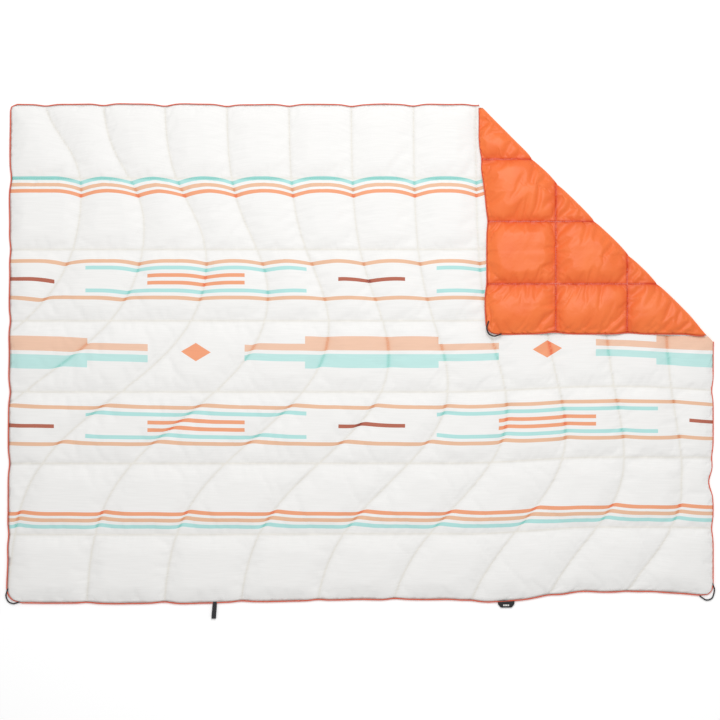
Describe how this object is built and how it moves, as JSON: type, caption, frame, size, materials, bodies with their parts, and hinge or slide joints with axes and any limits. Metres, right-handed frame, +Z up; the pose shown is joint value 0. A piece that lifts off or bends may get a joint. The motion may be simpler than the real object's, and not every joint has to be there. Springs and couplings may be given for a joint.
{
  "type": "camp blanket",
  "caption": "Quilted synthetic-fill camp blanket, printed face up, with one corner folded over to show its orange lining.",
  "frame": {"origin": "middle of the underside, where the blanket lies on a flat surface", "axes": "+X along the long side, +Y across it towards the folded corner's end, +Z up"},
  "size_m": [1.9162, 1.3883, 0.0363],
  "materials": {
    "printed_ripstop": "matte",
    "orange_taffeta": "satin",
    "polyester_fill": "matte",
    "piping_cloth": "matte",
    "black_cord": "matte",
    "black_webbing": "matte"
  },
  "bodies": {
    "blanket": {"lining_panel": "orange_taffeta", "insulation_sheet": "polyester_fill", "face_panel": "printed_ripstop", "edge_piping": "piping_cloth"},
    "corner_flap": {"flap_lining_panel": "orange_taffeta", "flap_insulation_sheet": "polyester_fill", "flap_face_panel": "printed_ripstop", "flap_edge_piping": "piping_cloth"},
    "bottom_left_loop": {"corner_loop_bottom_left": "black_cord"},
    "bottom_right_loop": {"corner_loop_bottom_right": "black_cord"},
    "folded_corner_loop": {"corner_loop_folded": "black_cord"},
    "webbing_loop": {"hang_loop": "black_webbing"},
    "label": {"label_tab": "black_webbing"}
  },
  "joints": [
    {"name": "corner_fold", "type": "hinge", "parent": "blanket", "child": "corner_flap", "pos_m": [0.49, 0.49, 0.01815], "axis": [-0.7071, 0.7071, 0], "range_deg": [0, 179.9]},
    {"name": "bottom_left_loop_flop", "type": "hinge", "parent": "blanket", "child": "bottom_left_loop", "pos_m": [-0.9381, -0.6581, 0.004], "axis": [-0.7071, 0.7071, 0], "range_deg": [0, 100]},
    {"name": "bottom_right_loop_flop", "type": "hinge", "parent": "blanket", "child": "bottom_right_loop", "pos_m": [0.9381, -0.6581, 0.004], "axis": [-0.7071, -0.7071, 0], "range_deg": [0, 100]},
    {"name": "folded_loop_flop", "type": "hinge", "parent": "corner_flap", "child": "folded_corner_loop", "pos_m": [0.3579, 0.0629, 0.0323], "axis": [-0.7071, 0.7071, 0], "range_deg": [-30, 75]},
    {"name": "webbing_loop_flop", "type": "hinge", "parent": "blanket", "child": "webbing_loop", "pos_m": [-0.393, -0.6728, 0.007], "axis": [-1, 0, 0], "range_deg": [0, 100]},
    {"name": "label_flop", "type": "hinge", "parent": "blanket", "child": "label", "pos_m": [0.393, -0.6728, 0.0052], "axis": [-1, 0, 0], "range_deg": [0, 100]}
  ]
}
